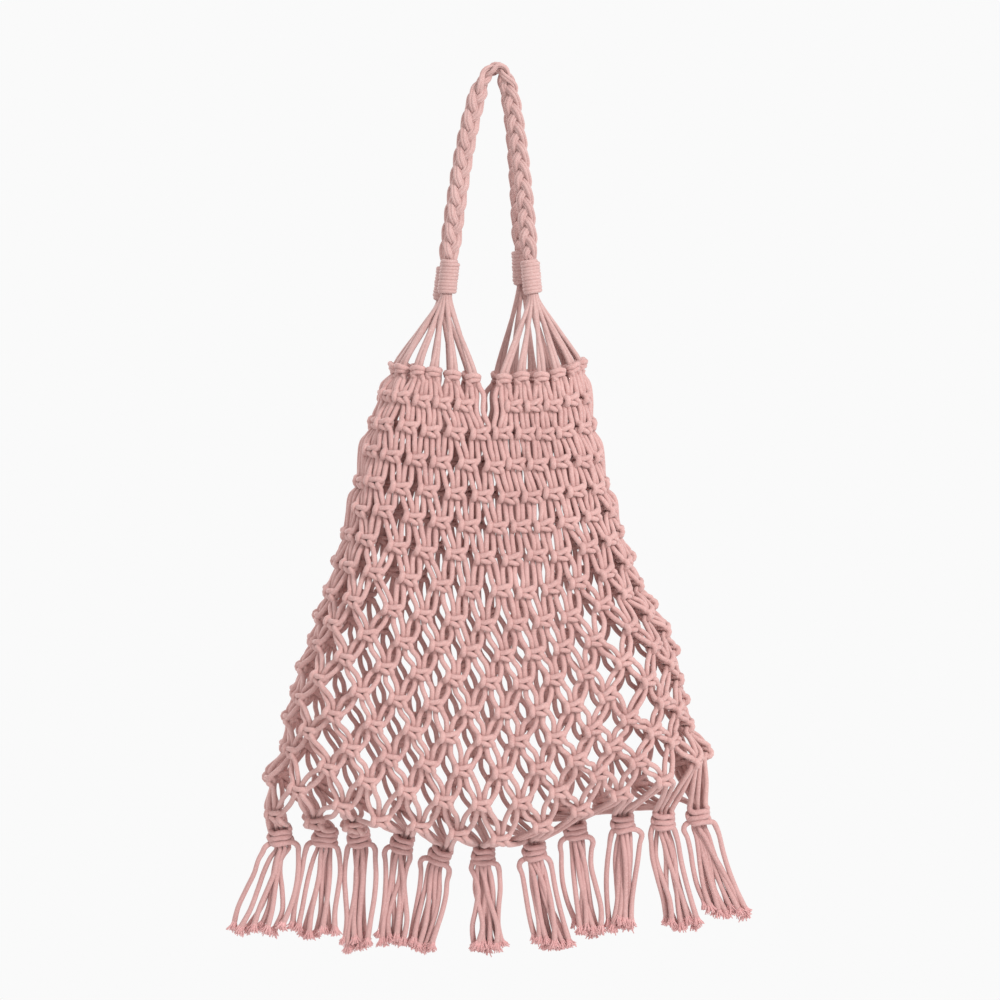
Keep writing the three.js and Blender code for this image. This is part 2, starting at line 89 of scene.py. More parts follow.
def soft_light(name, place, size, power):
    """A round area light that faces the bag."""
    data = bpy.data.lights.new(name, "AREA")
    data.shape = "DISK"
    data.size = size
    data.energy = power
    light = bpy.data.objects.new(name, data)
    light.location = place
    light.rotation_euler = (AIM - Vector(place)).to_track_quat("-Z", "Y").to_euler()
    bpy.context.collection.objects.link(light)


soft_light("key", place=(1.6, -1.9, 1.0), size=0.7, power=56)
soft_light("behind", place=(-1.4, 2.0, 0.7), size=0.9, power=36)

# ---------------------------------------------------------------- the net's surface, as in the part's source
SECTIONS = np.array([
    # row, down, left, right, depth, rise left, rise right, turn
    (0, 0.0, 0.228, 0.187, 0.5, 0.017, 0.027, 0.25),
    (2, 0.122, 0.277, 0.214, 0.58, 0.022, 0.022, 0.25),
    (4, 0.249, 0.313, 0.243, 0.68, 0.03, 0.027, 0.25),
    (6, 0.384, 0.338, 0.272, 0.8, 0.051, 0.054, 0.25),
    (8, 0.522, 0.379, 0.315, 0.92, 0.064, 0.084, 0.25),
    (10, 0.646, 0.416, 0.375, 1.0, 0.081, 0.111, 0.25),
    (12, 0.772, 0.458, 0.409, 1.0, 0.098, 0.135, 0.25),
    (14, 0.899, 0.482, 0.432, 0.88, 0.106, 0.155, 0.2),
    (15, 0.962, 0.522, 0.478, 0.6, 0.093, 0.135, 0.1),
    (16, 1.0, 0.511, 0.471, 0.06, 0.0, 0.0, 0.0),
])
DOWN, LEFT, RIGHT, DEPTH, RISE_LEFT, RISE_RIGHT, TURN = range(1, 8)

# Where the load pushes the net out: across, down, reach, lift.
FRONT_BULGES = [
    (-0.252, 0.468, 0.105, 0.08), (0.0, 0.456, 0.11, 0.09), (0.303, 0.589, 0.11, 0.1),
    (-0.326, 0.662, 0.105, 0.09), (-0.128, 0.709, 0.1, 0.1), (-0.274, 0.863, 0.13, 0.12),
    (-0.038, 0.905, 0.105, 0.12), (0.16, 0.757, 0.12, 0.1), (0.344, 0.831, 0.115, 0.11),
]
BACK_BULGES = [
    (-0.15, 0.5, 0.12, 0.09), (0.13, 0.56, 0.12, 0.1), (-0.3, 0.72, 0.12, 0.1),
    (0.02, 0.78, 0.13, 0.1), (0.28, 0.8, 0.13, 0.1), (-0.16, 0.9, 0.11, 0.09),
]

# The tassels, left to right: across, rise of the bottom there, length, lean and spread.
TASSELS = [
    (-0.489, 0.046, 1.04, -0.25, 0.55), (-0.389, 0.042, 1.02, -0.12, 0.5), (-0.312, 0.042, 1.13, -0.03, 0.29),
    (-0.216, 0.038, 1.08, -0.11, 0.3), (-0.131, 0.004, 0.98, -0.186, 0.28), (-0.031, 0.004, 1.01, 0.05, 0.34),
    (0.085, 0.015, 1.01, 0.185, 0.4), (0.178, 0.069, 1.1, 0.135, 0.3), (0.285, 0.074, 1.12, -0.03, 0.28),
    (0.375, 0.08, 1.14, 0.205, 0.37), (0.455, 0.093, 1.06, 0.3, 0.44),
]

# The last row's knots sit this far above the bottom.
LAST_ROW_LIFT = 1.77
# Half of the step, in knot positions, that gives the direction along a row.
NUDGE = 0.03


@lru_cache(maxsize=None)
def section(row):
    """The net's measures at a row, on a smooth curve through SECTIONS."""
    i = int(np.clip(np.searchsorted(SECTIONS[:, 0], row, side="left") - 1, 0, len(SECTIONS) - 2))

    def slope(a):
        return (SECTIONS[a + 1] - SECTIONS[a]) / (SECTIONS[a + 1, 0] - SECTIONS[a, 0])

    here = slope(i)
    before = (slope(i - 1) + here) / 2 if i else here
    after = (slope(i + 1) + here) / 2 if i < len(SECTIONS) - 2 else here
    step = SECTIONS[i + 1, 0] - SECTIONS[i, 0]
    t = (row - SECTIONS[i, 0]) / step
    if t < 0 or t > 1:
        return SECTIONS[i] + (before if t < 0 else after) * t * step
    return (
        (1 + 2 * t) * (1 - t) ** 2 * SECTIONS[i] + t * (1 - t) ** 2 * step * before
        + t * t * (3 - 2 * t) * SECTIONS[i + 1] + t * t * (t - 1) * step * after
    )


def bottom_height(x):
    """The height of the net's bottom edge, which rises and falls with the tassels."""
    rise = np.interp(x / NET_WIDTH, [t[0] for t in TASSELS], [t[1] for t in TASSELS])
    return NET_TOP - NET_HEIGHT * (1 - rise)


@lru_cache(maxsize=None)
def surface(position, row):
    """The net's middle surface at a knot position, counted from the left tip round the front, and a row.

    A row is a flat oval: two straight sides between two round ends. Gives the point and the way out there.
    """
    s = section(row)
    left, right, radius = -s[LEFT] * NET_WIDTH, s[RIGHT] * NET_WIDTH, s[DEPTH] * NET_DEPTH / 2
    straight = right - left - 2 * radius
    quarter = math.pi * radius / 2
    half = straight + 2 * quarter
    distance = ((position + s[TURN]) / AROUND % 1.0) * 2 * half
    on_back = distance > half
    along = 2 * half - distance if on_back else distance
    angle, x = math.pi / 2, left + radius + along - quarter
    if along < quarter:
        angle = along / radius
        x = left + radius - radius * math.cos(angle)
    elif along > half - quarter:
        angle = math.pi - (half - along) / radius
        x = right - radius - radius * math.cos(angle)
    side = 1 if on_back else -1
    # Towards the last row the net closes, so its outside turns downwards.
    tilt = min(max((row - ROWS) / 2 + 1, 0), 1)
    normal = np.array((-math.cos(angle), side * math.sin(angle), -tilt))
    normal /= np.linalg.norm(normal)
    high = section(min(row, ROWS - 1))
    rise = high[RISE_LEFT] * (x / left) ** 2 if x < 0 else high[RISE_RIGHT] * (x / right) ** 2
    z = NET_TOP - NET_HEIGHT * (high[DOWN] - rise)
    if row > ROWS - 1:
        z += (bottom_height(x) + LAST_ROW_LIFT - z) * (row - ROWS + 1)
    point = np.array((x, side * radius * math.sin(angle), z))
    for across, down, reach, lift in BACK_BULGES if on_back else FRONT_BULGES:
        gap = (x - across * NET_WIDTH) ** 2 + (z - NET_TOP + down * NET_HEIGHT) ** 2
        push = lift * NET_DEPTH * math.exp(-gap / (reach * NET_WIDTH) ** 2) * math.sin(angle) ** 2
        point += normal * push * min(max((ROWS - row) / 2, 0), 1)
    return point, normal


def unit(v):
    return v / np.linalg.norm(v)


def unit_rows(vectors):
    return vectors / np.linalg.norm(vectors, axis=1)[:, None]


def frame_at(position, row):
    """Origin, right, down and out of the net's surface, as seen from outside."""
    point, normal = surface(position % AROUND, row)
    ahead, behind = (surface((position + step) % AROUND, row)[0] for step in (NUDGE, -NUDGE))
    right = unit(ahead - behind)
    out = unit(normal - right * normal.dot(right))
    return point, right, np.cross(right, out), out


def turned(right, down, turn):
    """The two directions of a knot's face, turned in that face."""
    return right * math.cos(turn) + down * math.sin(turn), down * math.cos(turn) - right * math.sin(turn)


def spacing(row):
    """The distance from knot to knot along a row."""
    s = section(row)
    across, depth = (s[LEFT] + s[RIGHT]) * NET_WIDTH, s[DEPTH] * NET_DEPTH
    return (2 * (across - depth) + math.pi * depth) / AROUND


# ---------------------------------------------------------------- cord paths, as (right, down, out) in a knot
# A left-facing square knot. The first working cord makes both bars, which open to the right; the second enters
# and leaves between them there, and makes the bump at the left.
BARS = [
    (-7.0, -6.2, 0.8), (-6.0, -3.8, 1.6), (-3.8, -1.7, 3.3), (-1.2, -1.5, 4.3), (2.0, -2.0, 4.6),
    (5.0, -2.9, 4.2), (7.0, -3.2, 2.6), (7.6, -1.9, 0.2), (7.0, 0.3, -1.2), (6.4, 2.3, -0.4),
    (5.7, 4.1, 1.7), (3.7, 4.2, 3.8), (1.0, 3.2, 4.5), (-1.8, 2.1, 4.1), (-4.2, 1.6, 2.2),
    (-6.6, 2.0, 0.8), (-8.0, 4.0, 0.2),
]
BUMP = [
    (9.2, -4.2, 0.8), (7.8, -1.8, 2.6), (6.2, -0.5, 3.5), (4.7, -0.3, 2.2), (4.2, -0.3, -0.8),
    (2.4, -0.8, -3.6), (-1.0, -1.8, -4.2), (-3.8, -2.9, -3.2), (-5.4, -3.5, -0.6), (-5.6, -3.4, 2.4),
    (-5.5, -2.1, 5.0), (-5.8, 0.0, 5.7), (-6.2, 2.0, 5.0), (-6.2, 3.4, 2.4), (-5.5, 3.5, -0.6),
    (-3.8, 3.1, -3.2), (-0.8, 2.2, -4.2), (2.6, 1.2, -3.6), (4.3, 0.8, -0.8), (4.8, 0.7, 2.5),
    (6.1, 1.3, 4.4), (7.7, 3.1, 3.8), (8.6, 5.8, 1.8),
]
FILL_LEFT = [(-1.2, -5.2, 0.0), (-1.9, 0, -0.2), (-2.7, 5.0, 0.0)]
FILL_RIGHT = [(2.7, -5.2, 0.0), (1.9, 0, -0.2), (2.2, 5.2, 0.0)]
KNOT = [BARS, FILL_LEFT, FILL_RIGHT, BUMP]
# The bump is the loosest part of the knot, so the cord swells there.
SWELL = [1.0, 1.0, 1.0, np.interp(np.arange(len(BUMP)), (8, 10, 12, 14), (1.0, 1.15, 1.15, 1.0))]
# The top row: one folded cord lies over the fillers as a bar, then its halves cross and make a smaller bar.
TOP_LEFT_HALF = [
    (-3.6, -2.9, 4.7), (-6.5, -2.3, 2.8), (-6.6, -1.4, -1.2), (-3.6, -0.4, -4.0), (1.0, 0.2, -4.4),
    (4.6, 0.7, -3.0), (6.2, 0.8, 0.4), (4.4, 0.7, 3.2), (1.6, 0.5, 4.2), (-1.6, 0.7, 4.1),
    (-4.4, 1.8, 2.8), (-6.0, 3.6, 1.0), (-6.4, 6.0, 0.0),
]
TOP_RIGHT_HALF = [
    (3.6, -2.9, 4.7), (6.5, -2.3, 2.8), (6.8, -1.0, -1.0), (4.2, 0.6, -4.0), (0, 1.6, -4.6),
    (-4.2, 1.8, -3.4), (-6.3, 1.4, 0.2), (-6.0, 2.2, 2.8), (-4.8, 3.8, 2.4), (-2.4, 4.6, -0.6),
    (0.6, 4.6, -3.2), (3.6, 4.0, -2.6), (5.4, 3.8, 0.6), (6.2, 4.8, 2.6), (6.8, 7.0, 1.4),
]
TOP_KNOT = [
    TOP_LEFT_HALF, [(-2.3, -4.2, -0.6), (-2.1, 0, -0.2), (-2.5, 4.2, 0)],
    [(2.3, -4.2, -0.6), (2.1, 0, -0.2), (2.4, 4.2, 0)], TOP_RIGHT_HALF,
]
# A tassel's gathering knot has three bars; its working cords end on the other side and hang loose.
HEAD_BARS = [
    (-6.4, -8.6, 2.2), (-6.4, -6.2, 4.4), (-3.4, -4.6, 6.2), (0, -4.4, 6.7), (3.8, -4.5, 5.8),
    (6.8, -4.0, 3.0), (7.4, -2.4, 0.6), (6.6, -0.8, 3.4), (3.6, -0.1, 6.1), (0, 0, 6.6), (-3.6, 0.1, 5.9),
    (-6.9, 0.7, 2.8), (-7.5, 2.2, 0.8), (-6.4, 3.7, 3.2), (-3.6, 4.3, 5.8), (0, 4.4, 6.4), (3.8, 4.1, 5.6),
    (6.8, 4.2, 4.0), (9.2, 5.8, 2.6), (10.9, 9.6, 1.6),
]
HEAD_BUMP = [
    (6.6, -8.8, 2.2), (7.4, -6.2, 3.0), (6.4, -4.8, -0.8), (3.0, -4.6, -5.4), (-2.6, -4.4, -5.6),
    (-6.6, -3.6, -2.4), (-8.0, -2.0, 1.8), (-7.8, -0.2, 3.4), (-6.8, 0.9, -0.6), (-3.4, 0.6, -5.2),
    (2.8, 0.4, -5.4), (6.6, 1.0, -2.0), (8.0, 2.4, 2.6), (7.4, 4.0, 1.6), (5.4, 4.6, -3.2), (0, 4.6, -5.8),
    (-5.2, 4.0, -3.6), (-8.0, 4.0, 0.4), (-10.0, 5.8, 1.6), (-11.3, 9.8, 1.2),
]

# How the load draws the knots along the net: shares of a knot's spacing (first) and of a row (second), for
# some rows, at the knot positions in SLIDE_AT.
SLIDE_AT = (0, 1.5, 3.5, 6, 8.5, 10.5, 12, 18, 24)
SLIDE = {
    0: ((0, -0.35, -0.5, -0.2, -0.05, -0.2, 0, 0, 0), (0, -0.1, -0.03, 0.08, 0.15, 0.05, 0, 0, 0)),
    2: ((0, -0.3, -0.18, 0.18, 0.08, -0.1, 0, 0, 0), (0, -0.14, -0.1, -0.08, 0, 0.05, 0, 0, 0)),
    4: ((0, -0.1, 0.03, 0.32, 0.1, -0.05, 0, 0, 0), (0, -0.14, -0.1, -0.05, 0, 0.05, 0, 0, 0)),
    8: (
        (0, 0.24, 0.36, 0.38, 0.03, 0, 0, 0, 0),
        (-0.12, -0.3, -0.33, -0.2, -0.1, -0.05, -0.05, -0.2, -0.12),
    ),
    12: (
        (0, 0.38, 0.34, 0.13, 0, -0.24, 0, 0, 0),
        (-0.2, -0.3, -0.42, -0.33, -0.18, 0.03, -0.05, -0.3, -0.2),
    ),
    15: (
        (0.1, 0.33, 0.23, 0.16, 0.2, 0.1, 0, 0, 0.1),
        (-0.3, -0.5, -0.4, -0.18, -0.75, -0.5, -0.25, -0.4, -0.3),
    ),
    16: (
        (-0.05, 0, -0.1, 0, 0, 0, 0, 0, 0),
        (-0.42, -0.42, -0.36, -0.3, -0.4, -0.4, -0.4, -0.4, -0.4),
    ),
}
# The short slits at the front and the back: where they are, how many rows deep, and how far, in knot
# positions, the top knots on either hand draw apart.
SHORT_SLITS, SHORT_SLIT_ROWS, SHORT_SLIT_DRAW = (6, 18), 2, 0.36


def slide(position, row):
    """Where the knot of an even lattice really sits."""
    rows, spot = list(SLIDE), position % AROUND
    across, down = (
        np.interp(row, rows, [np.interp(spot, SLIDE_AT, SLIDE[r][k]) for r in rows]) for k in (0, 1)
    )
    for slit in SHORT_SLITS:
        away = spot - slit
        if abs(away) < QUARTER and row < SHORT_SLIT_ROWS:
            draw = SHORT_SLIT_DRAW * (1 - row / SHORT_SLIT_ROWS) * math.exp(-abs(away) / 4)
            across += math.copysign(draw, away)
    return position + across, max(row + down, 0.0)


class Piece:
    """Collects swept tubes for one Blender object."""

    def __init__(self, name, slot, node):
        self.name, self.slot, self.node = name, slot, node
        self.points, self.quads, self.uvs, self.kinds = [], [], [], []
        self.count = 0

    def add(self, points, quads, uvs, kind):
        self.points.append(points)
        self.quads.append(quads + self.count)
        self.uvs.append(uvs)
        self.kinds.append(np.full(len(quads), kind, dtype=np.int32))
        self.count += len(points)

    def build(self, materials):
        """Makes the object. A face's kind is the index of its material."""
        points = np.concatenate(self.points) * UNIT
        quads = np.concatenate(self.quads)
        mesh = bpy.data.meshes.new(self.name)
        mesh.vertices.add(len(points))
        mesh.vertices.foreach_set("co", points.ravel())
        mesh.loops.add(quads.size)
        mesh.loops.foreach_set("vertex_index", quads.ravel().astype(np.int32))
        mesh.polygons.add(len(quads))
        mesh.polygons.foreach_set("loop_start", np.arange(0, quads.size, 4, dtype=np.int32))
        mesh.polygons.foreach_set("material_index", np.concatenate(self.kinds))
        mesh.polygons.foreach_set("use_smooth", np.ones(len(quads), dtype=bool))
        layer = mesh.uv_layers.new(name="cord")
        layer.data.foreach_set("uv", np.concatenate(self.uvs).ravel())
        for material in materials:
            mesh.materials.append(material)
        mesh.update(calc_edges=True)
        mesh.validate()
        piece = bpy.data.objects.new(self.name, mesh)
        bpy.context.collection.objects.link(piece)
        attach(piece, "root")
        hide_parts(self.node)


def trace(points, radii, tags, steps):
    """A smooth curve through the points, cut into steps that are hardly longer than steps says."""
    points, radii = np.asarray(points, float), np.asarray(radii, float)
    first, last = 2 * points[0] - points[1], 2 * points[-1] - points[-2]
    full = np.vstack((first, points, last))
    gap = np.sqrt(np.maximum(np.linalg.norm(np.diff(full, axis=0), axis=1), 1e-6))
    before, here, after = gap[:-2, None], gap[1:-1, None], gap[2:, None]
    p0, p1, p2, p3 = full[:-3], full[1:-2], full[2:-1], full[3:]
    m1 = ((p1 - p0) / before - (p2 - p0) / (before + here) + (p2 - p1) / here) * here
    m2 = ((p2 - p1) / here - (p3 - p1) / (here + after) + (p3 - p2) / after) * here
    lengths = np.linalg.norm(p2 - p1, axis=1)
    counts = np.maximum(1, np.ceil(lengths / np.asarray(steps)[:-1] - 0.25)).astype(int)
    index = np.repeat(np.arange(len(counts)), counts)
    t = np.concatenate([np.arange(n) / n for n in counts])[:, None]
    curve = (
        (1 + 2 * t) * (1 - t) ** 2 * p1[index] + t * (1 - t) ** 2 * m1[index]
        + t * t * (3 - 2 * t) * p2[index] + t * t * (t - 1) * m2[index]
    )
    radius = radii[index] * (1 - t[:, 0]) + radii[index + 1] * t[:, 0]
    curve = np.vstack((curve, points[-1]))
    radius = np.append(radius, radii[-1])
    return curve, radius, [tags[i] for i in index] + [tags[-1]]


def rings_along(curve, radius, sides):
    """A ring of points round each point of the curve. The rings don't twist from one to the next."""
    tangent = unit_rows(np.gradient(curve, axis=0))
    seed = np.array((0.0, 1.0, 0.0)) if abs(tangent[0][1]) < 0.8 else np.array((1.0, 0.0, 0.0))
    across = np.empty_like(curve)
    n = unit(seed - tangent[0] * seed.dot(tangent[0]))
    for i, t in enumerate(tangent):
        n = n - t * n.dot(t)
        n /= math.sqrt(n.dot(n))
        across[i] = n
    over = np.cross(tangent, across)
    angles = (np.arange(sides) * (2 * math.pi / sides))[None, :, None]
    spokes = across[:, None] * np.cos(angles) + over[:, None] * np.sin(angles)
    return curve[:, None] + spokes * radius[:, None, None]


def tube_faces(rows, sides, travel):
    """Quads and corner UVs of a tube of that many rings; travel is each ring's length along the cord."""
    i, j = np.meshgrid(np.arange(rows - 1), np.arange(sides), indexing="ij")
    i, j = i.ravel(), j.ravel()
    k = (j + 1) % sides
    quads = np.stack((i * sides + j, i * sides + k, (i + 1) * sides + k, (i + 1) * sides + j), axis=1)
    u0, u1, v0, v1 = j / sides, (j + 1) / sides, travel[i], travel[i + 1]
    return quads, np.stack([np.stack(uv, 1) for uv in ((u0, v0), (u1, v0), (u1, v1), (u0, v1))], 1)


def cap_faces(start, sides, reverse, travel):
    """Quads and corner UVs that close a tube over the ring of points from start on."""
    quads = np.array([(start, start + a, start + a + 1, start + a + 2) for a in range(1, sides - 2, 2)])
    if reverse:
        quads = quads[:, ::-1]
    return quads, np.full((len(quads), 4, 2), (0.5, travel))


def travelled(line):
    """How long the line is up to each of its points."""
    return np.concatenate(([0], np.cumsum(np.linalg.norm(np.diff(line, axis=0), axis=1))))


def lay_cord(points, radii, tags, steps, sides=8, kind=0):
    """Sweeps one cord. Its tags say which piece each stretch belongs to."""
    curve, radius, owner = trace(points, radii, tags, steps)
    rings = rings_along(curve, radius, sides)
    travel = travelled(curve) / (2 * math.pi * CORD)
    start, last = 0, len(owner) - 1
    while start < last:
        end = start + 1
        while end < last and owner[end] is owner[start]:
            end += 1
        rows = end - start + 1
        parts = [tube_faces(rows, sides, travel[start:end + 1])]
        if start == 0:
            parts.append(cap_faces(0, sides, True, travel[0]))
        if end == last:
            parts.append(cap_faces((rows - 1) * sides, sides, False, travel[end]))
        quads, uvs = (np.concatenate(part) for part in zip(*parts))
        owner[start].add(rings[start:end + 1].reshape(-1, 3), quads, uvs, kind)
        start = end


# ---------------------------------------------------------------- pieces
# The quarters of the net, in the order of its knot positions.
QUARTERS = ("front_left", "front_right", "back_right", "back_left")
NET = [Piece(f"net_{quarter}", "net_cord", "net_body") for quarter in QUARTERS]
FAN = [Piece(f"fan_{quarter}", "handle_cord", f"handle_{quarter.split('_')[0]}") for quarter in QUARTERS]
TASSEL = [Piece(f"tassel_{n:02d}_cords", "tassel_cord", f"tassel_{n:02d}") for n in range(1, len(TASSELS) + 1)]

# ---------------------------------------------------------------- handles' middle lines and wraps
# How far a handle's ends are under the origin, how far its bend is over it, and the power of the curve.
HANDLE_DROP, HANDLE_BEND, BEND_POWER = 146.0, 4.75, 2.1
# A handle's left and right leg: reach, how much higher it ends, bulge. Then the handle's place in depth.
LEGS = {
    "front": ((-36.5, 0.0, 0.0), (26.0, 0.0, 0.0), -10.0),
    "back": ((-40.5, -5.0, 0.0), (19.0, 8.0, 2.0), 10.0),
}
LEG_POINTS = 10


def handle_line(name):
    """The middle line of a handle, from its left wrap over the bend to its right wrap."""
    left, right, y = LEGS[name]
    points = []
    for i in range(-LEG_POINTS, LEG_POINTS + 1):
        u = abs(i) / LEG_POINTS
        reach, higher, bulge = left if i < 0 else right
        drop = u ** BEND_POWER
        x = u * reach + bulge * math.sin(math.pi * u)
        points.append((x, y, HANDLE_BEND * (1 - drop) + (higher - HANDLE_DROP) * drop))
    count = len(points)
    return trace(points, np.ones(count), [0] * count, [1.0] * count)[0]


LINES = {name: handle_line(name) for name in LEGS}
# Start and heading of each wrap, in the order of the quarters.
RUNS = []
for name, end, inner in (("front", 0, 1), ("front", -1, -2), ("back", -1, -2), ("back", 0, 1)):
    line = LINES[name]
    RUNS.append((line[end], unit(line[end] - line[inner])))

# ---------------------------------------------------------------- the net's cords
# The knots that the slits leave out: long slits at both sides, short ones at the front and the back.
MISSING = {(0, 1), (0, 3), (0, 5), (12, 1), (12, 3), (12, 5), (6, 1), (18, 1)}
# The positions that have a knot in the last row.
LAST_KNOTS = (0.5, 1.5, 2.5, 21.5, 22.5, 23.5)
# Where a strand goes from a knot: its number in the next knot, and how far round the net that one is.
MOVES = {0: (2, -0.5), 1: (3, -0.5), 2: (0, 0.5), 3: (1, 0.5)}
# Where a strand passes a missing knot: shift in knot positions, and place across from there.
SLIT_PASS = {0: (-0.5, 1.0), 1: (-0.5, 6.4), 2: (0.5, -5.8), 3: (0.5, -1.0)}
# It does so over two points: how far down each is, and how far out beside the lift they share.
SLIT_PASS_POINTS, SLIT_PASS_LIFT = ((-8.5, -1.3), (5, 0.6)), 2.4
# Knots that the loose cords at the two side slits draw in.
DRAWN_IN = {(spot, row): 2.2 for spot in (0.5, 11.5, 12.5, 23.5) for row in (2, 4)}
# How far the two cords of a pair bow apart between knots, by row.
PAIR_BOW_ROWS, PAIR_BOW = (0, 5, 9, 15), (-0.2, 0.3, 1.4, 1.6)
# How far a cord stands out between knots.
PAIR_OUT = 0.3
# Random spreads: of a passing cord's lift and place across, and of a pair's bow and its place outwards.
LIFT_STRAY, PASS_STRAY, BOW_STRAY, OUT_STRAY = 0.6, 0.4, 0.35, 0.5
# The longest steps of a sweep: in a knot, between knots, in a fan, and on paths that keep their own points.
KNOT_STEP, RUN_STEP, FAN_STEP, OWN_STEP = 1.9, 3.6, 4.5, 9.0
# How far hand-tied knots are off the lattice: turned, and moved across, down and out.
KNOT_TURN, KNOT_STRAY = 0.08, (0.6, 0.7, 0.5)
# Half a knot's width as it is listed above and at most as tied, what stays free between two knots, and the
# scale of its height and depth.
KNOT_HALF_LISTED, KNOT_HALF_TIED, KNOT_APART, KNOT_TALL = 7.3, 6.5, 4.9, 0.92
# The radius of a fan's cord inside the wrap, just under it, halfway down and near the knot.
FAN_RADII = (1.3, 1.5, 1.85, 1.95)
# Where the cord right of a top knot's middle comes in, how far its path starts inside the wrap, and half the
# gap between the two cords of a pair there.
FAN_END, FAN_INSIDE, FAN_HALF_GAP = (2.3, -5.6, -0.6), 7, 0.95


@lru_cache(maxsize=None)
def knot_frame(position, row):
    """A knot's place, a little off the lattice, as hand-tied knots are."""
    point, right, down, out = frame_at(*slide(position, row))
    if row == ROWS:
        out = unit(out * (1, 1, 0.15))
        down = unit(np.cross(right, out))
    turn = rng.normal(0, KNOT_TURN)
    across, lower, outward = (rng.normal(0, stray) for stray in KNOT_STRAY)
    point = point + right * across + down * lower + out * outward
    point = point - out * DRAWN_IN.get((position, row), 0)
    return point, *turned(right, down, turn), out


def to_world(place, local, scale=(1, 1, 1)):
    """Points given as (right, down, out) in a knot's frame, moved to where the knot is."""
    point, right, down, out = place
    u, v, w = np.asarray(local, float).T * np.array(scale)[:, None]
    return point + u[:, None] * right + v[:, None] * down + w[:, None] * out


def knot_scale(row):
    """A knot's scale across, down and out: it is pulled narrower where the knots stand close."""
    across = min(KNOT_HALF_TIED, (spacing(row) - KNOT_APART) / 2) / KNOT_HALF_LISTED
    return across, KNOT_TALL, KNOT_TALL


def quarter_of(position):
    """The quarter of the net that a position lies in."""
    return int(position % AROUND // QUARTER)


class Route:
    """Control points of one cord, with a radius, an owner and a step for each."""

    def __init__(self):
        self.points, self.radii, self.tags, self.steps = [], [], [], []

    def go(self, points, radius, tag, step):
        points = np.atleast_2d(points)
        self.points.extend(points)
        self.radii.extend(np.broadcast_to(radius, len(points)))
        self.tags.extend([tag] * len(points))
        self.steps.extend([step] * len(points))

    def reverse(self):
        """The same cord from its other end. A tag and a step count for the stretch after their point."""
        self.points.reverse()
        self.radii.reverse()
        self.tags = self.tags[-2::-1] + [self.tags[0]]
        self.steps = self.steps[-2::-1] + [self.steps[0]]
        return self

    def then(self, other):
        self.points += other.points
        self.radii += other.radii
        self.tags += other.tags
        self.steps += other.steps
        return self

    def lay(self):
        lay_cord(self.points, self.radii, self.tags, self.steps)


def net_route(column, strand):
    """A cord from the top knot of a column down the net, with the last knot and the strand it ends as."""
    route = Route()
    position = column + 0.5
    for row in range(ROWS):
        spot = position % AROUND
        # A knot on the line between two quarters gives two of its strands to each.
        inside = spot if spot != int(spot) else spot + (0.01 if strand > 1 else -0.01)
        tag = NET[quarter_of(inside)]
        if (spot, row) in MISSING:
            shift, u = SLIT_PASS[strand]
            place = frame_at(*slide(position + shift, row))
            lift = SLIT_PASS_LIFT + rng.normal(0, LIFT_STRAY)
            local = [(u + rng.normal(0, PASS_STRAY), low, lift + more) for low, more in SLIT_PASS_POINTS]
            route.go(to_world(place, local), CORD, tag, RUN_STEP)
        else:
            shape, swell = (KNOT[strand], SWELL[strand]) if row else (TOP_KNOT[strand], 1.0)
            route.go(to_world(knot_frame(spot, row), shape, knot_scale(row)), CORD * swell, tag, KNOT_STEP)
        after, shift = MOVES[strand]
        beyond = (position + shift) % AROUND
        if row == ROWS - 1 and beyond not in LAST_KNOTS:
            return route, spot, strand
        if (spot, row) not in MISSING and (beyond, row + 1) not in MISSING:
            # The two cords of a pair part on their way to the next knot, the more the wider the net is drawn.
            place = knot_frame(beyond, row + 1)
            start, end = route.points[-1], to_world(place, KNOT[after][:1], knot_scale(row + 1))[0]
            out = frame_at(*slide(position + shift / 2, row + 0.5))[3]
            away = place[0] - knot_frame(spot, row)[0]
            bow = np.interp(row, PAIR_BOW_ROWS, PAIR_BOW) + rng.normal(0, BOW_STRAY)
            across = unit(np.cross(out, away)) * (-bow if strand in (0, 2) else bow)
            middle = (start + end) / 2 + across + out * rng.normal(PAIR_OUT, OUT_STRAY)
            route.go(middle, CORD, tag, RUN_STEP)
        if row == ROWS - 1:
            place = knot_frame(beyond, ROWS)
            route.go(to_world(place, KNOT[after], knot_scale(ROWS)), CORD, tag, KNOT_STEP)
            return route, beyond, after
        position += shift
        strand = after


def fan_route(column, strand):
    """From inside a wrap down to the top knot of a column."""
    start, heading = RUNS[column // QUARTER]
    side = -1 if strand == 1 else 1
    place = knot_frame((column + 0.5) % AROUND, 0)
    across, down, out = FAN_END
    knot = to_world(place, [(side * across, down, out)], knot_scale(0))[0]
    foot = start + heading * (WRAP_LENGTH + 1)
    outward = (knot - foot) * np.array((1, 1, 0))
    reach = np.linalg.norm(outward)
    outward = unit(outward)
    sideways = np.array((-outward[1], outward[0], 0)) * (side * -FAN_HALF_GAP)
    # The farther out a cord's knot is, the nearer to the outside of the neck it runs.
    inside = start + heading * (WRAP_LENGTH - FAN_INSIDE) + outward * min(2.2, reach * 0.2) + sideways
    under = foot + heading * 1.5 + outward * min(3.4, reach * 0.3) + sideways * 1.3
    # It sags a little on its way down.
    middle = under + (knot - under) * 0.45 - outward * reach * 0.015 + rng.normal(0, 0.35, 3)
    low = under + (knot - under) * 0.85 + rng.normal(0, 0.25, 3)
    route = Route()
    route.go([inside, under, middle, low], FAN_RADII, FAN[column // QUARTER], FAN_STEP)
    return route


